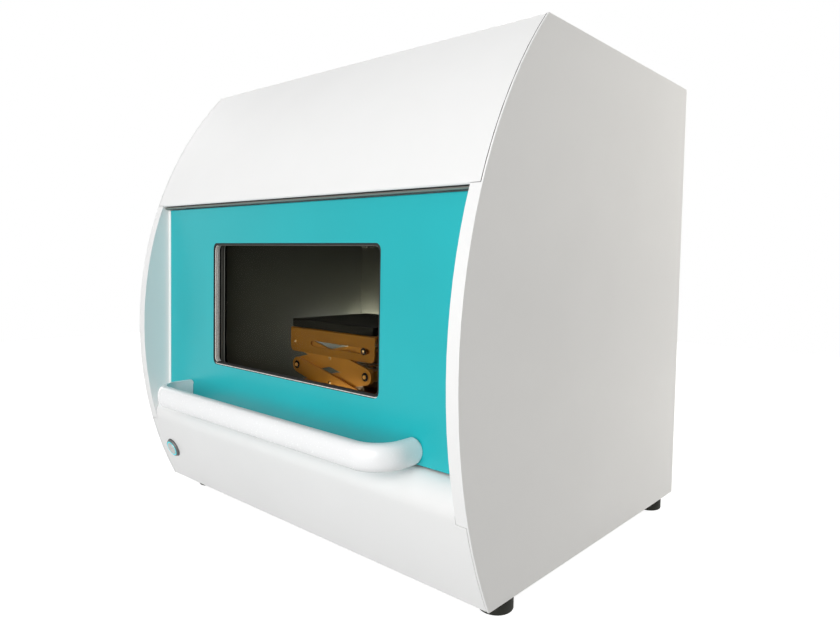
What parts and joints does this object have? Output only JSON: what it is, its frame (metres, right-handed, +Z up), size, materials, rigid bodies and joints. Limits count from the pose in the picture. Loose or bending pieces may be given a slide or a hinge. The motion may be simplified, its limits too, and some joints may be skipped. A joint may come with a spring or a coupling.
{
  "type": "x-ray fluorescence spectrometer",
  "caption": "Benchtop x-ray fluorescence spectrometer: curved white case, teal flap door with leaded window and bar handle, scissor jack in the sample chamber.",
  "frame": {"origin": "centre of the footprint at floor level", "axes": "+X to the viewer's right when facing the door, +Y to the back, +Z up"},
  "size_m": [0.58, 0.5152, 0.5861],
  "materials": {
    "white_paint": "satin powder coat",
    "teal_paint": "satin powder coat",
    "silver": "brushed",
    "grey_paint": "satin powder coat",
    "zinc_steel": "zinc plated",
    "dark_steel": "satin black",
    "shield_aluminium": "satin black lined",
    "black_rubber": "matte",
    "black_plastic": "matte",
    "handle_white": "satin",
    "bronze_anodised": "anodised",
    "black_anodised": "anodised",
    "lead_glass": "polished",
    "chamber_grey": "satin",
    "lamp_white": "diffusing",
    "ring_cyan": "lit",
    "board_green": "solder mask"
  },
  "bodies": {
    "case": {"base_chassis": "grey_paint", "side_panel_left": "white_paint", "side_panel_right": "white_paint", "hood_cover": "white_paint", "top_cover": "white_paint", "lower_front_panel": "white_paint", "rear_panel": "grey_paint", "foot_front_left": "black_rubber", "foot_front_right": "black_rubber", "foot_rear_left": "black_rubber", "foot_rear_right": "black_rubber", "front_bulkhead": "zinc_steel", "sample_chamber": "chamber_grey", "chamber_lamp": "lamp_white", "interlock_switch": "black_plastic", "door_gasket": "black_rubber", "hinge_rail": "zinc_steel", "hinge_pin": "silver", "lip_strip": "silver", "button_bezel": "silver", "button_ring": "ring_cyan", "jack_base": "bronze_anodised", "head_base_plate": "silver", "nose_cone": "silver", "head_block": "silver", "xray_tube": "zinc_steel", "collimator_motor": "black_plastic", "fluorescence_detector": "silver", "sample_camera": "black_plastic", "hv_generator": "silver", "power_supply": "silver", "control_board": "board_green", "fan_frame": "black_plastic", "power_entry": "black_plastic", "data_port": "silver"},
    "door": {"door_panel": "teal_paint", "window_frame": "silver", "door_shield": "shield_aluminium", "window_glass": "lead_glass", "glass_retainer": "dark_steel", "door_hinge_leaf": "zinc_steel", "door_handle": "handle_white", "interlock_tongue": "zinc_steel"},
    "button": {"button_cap": "silver"},
    "jack_lower_arm_a": {"jack_arm_lower_a": "bronze_anodised"},
    "jack_lower_arm_b": {"jack_arm_lower_b": "bronze_anodised"},
    "jack_upper_arm_a": {"jack_arm_upper_a": "bronze_anodised"},
    "jack_upper_arm_b": {"jack_arm_upper_b": "bronze_anodised"},
    "jack_stage": {"jack_top": "bronze_anodised", "jack_stage_plate": "black_anodised"},
    "jack_screw_carrier": {"jack_screw_bar": "bronze_anodised"},
    "jack_nut_carrier": {"jack_nut_bar": "bronze_anodised"},
    "jack_screw": {"jack_spindle": "silver", "jack_knob": "black_plastic"},
    "collimator": {"collimator_wheel": "silver"},
    "fan": {"fan_rotor": "black_plastic"},
    "rocker": {"mains_rocker": "black_plastic"}
  },
  "joints": [
    {"name": "door_swing", "type": "hinge", "parent": "case", "child": "door", "pos_m": [0, -0.1886, 0.3989], "axis": [-1, 0, 0], "range_deg": [0, 90]},
    {"name": "button_press", "type": "slide", "parent": "case", "child": "button", "axis": [0, 0.9392, 0.3434], "range_m": [0, 0.0015], "stiffness_N_per_m": 800, "springref_m": -0.001},
    {"name": "jack_lift", "type": "hinge", "parent": "case", "child": "jack_lower_arm_a", "pos_m": [-0.065, -0.0646, 0.1731], "axis": [0, -1, 0], "range_deg": [-3, 21]},
    {"name": "jack_cross", "type": "hinge", "parent": "jack_lower_arm_a", "child": "jack_lower_arm_b", "pos_m": [0, -0.0646, 0.1886], "axis": [0, -1, 0], "range_deg": [-42.5, 6.5]},
    {"name": "jack_elbow", "type": "hinge", "parent": "jack_lower_arm_a", "child": "jack_upper_arm_a", "pos_m": [0.065, -0.0646, 0.2041], "axis": [0, -1, 0], "range_deg": [-42.5, 6.5]},
    {"name": "jack_top_level", "type": "hinge", "parent": "jack_upper_arm_a", "child": "jack_stage", "pos_m": [-0.065, -0.0646, 0.2351], "axis": [0, -1, 0], "range_deg": [-3.5, 21.5]},
    {"name": "jack_far_elbow", "type": "hinge", "parent": "jack_lower_arm_b", "child": "jack_upper_arm_b", "pos_m": [-0.065, -0.0646, 0.2041], "axis": [0, -1, 0], "range_deg": [-6.5, 42.5]},
    {"name": "jack_screw_level", "type": "hinge", "parent": "jack_lower_arm_a", "child": "jack_screw_carrier", "pos_m": [0.065, -0.0646, 0.2041], "axis": [0, -1, 0], "range_deg": [-21.5, 3.5]},
    {"name": "jack_nut_level", "type": "hinge", "parent": "jack_lower_arm_b", "child": "jack_nut_carrier", "pos_m": [-0.065, -0.0646, 0.2041], "axis": [0, -1, 0], "range_deg": [-3.5, 21.5]},
    {"name": "jack_screw_turn", "type": "hinge", "parent": "jack_screw_carrier", "child": "jack_screw", "pos_m": [0.065, -0.0646, 0.2041], "axis": [1, 0, 0], "range_deg": [-241, 1672]},
    {"name": "collimator_turn", "type": "hinge", "parent": "case", "child": "collimator", "pos_m": [0, -0.0986, 0.4237], "axis": [0, 0, 1], "continuous": true},
    {"name": "fan_turn", "type": "hinge", "parent": "case", "child": "fan", "pos_m": [0.17, 0.2353, 0.4611], "axis": [0, 1, 0], "continuous": true},
    {"name": "mains_rocker_tilt", "type": "hinge", "parent": "case", "child": "rocker", "pos_m": [0.225, 0.2479, 0.1106], "axis": [0, 0, 1], "range_deg": [-14, 0]}
  ],
  "couplings": [
    {"joint": "jack_cross", "follows": "jack_lift", "ratio": -2},
    {"joint": "jack_elbow", "follows": "jack_lift", "ratio": -2},
    {"joint": "jack_top_level", "follows": "jack_lift", "ratio": 1},
    {"joint": "jack_far_elbow", "follows": "jack_lift", "ratio": 2},
    {"joint": "jack_screw_level", "follows": "jack_lift", "ratio": -1},
    {"joint": "jack_nut_level", "follows": "jack_lift", "ratio": 1},
    {"joint": "jack_screw_turn", "follows": "jack_lift", "ratio": 79.46}
  ]
}
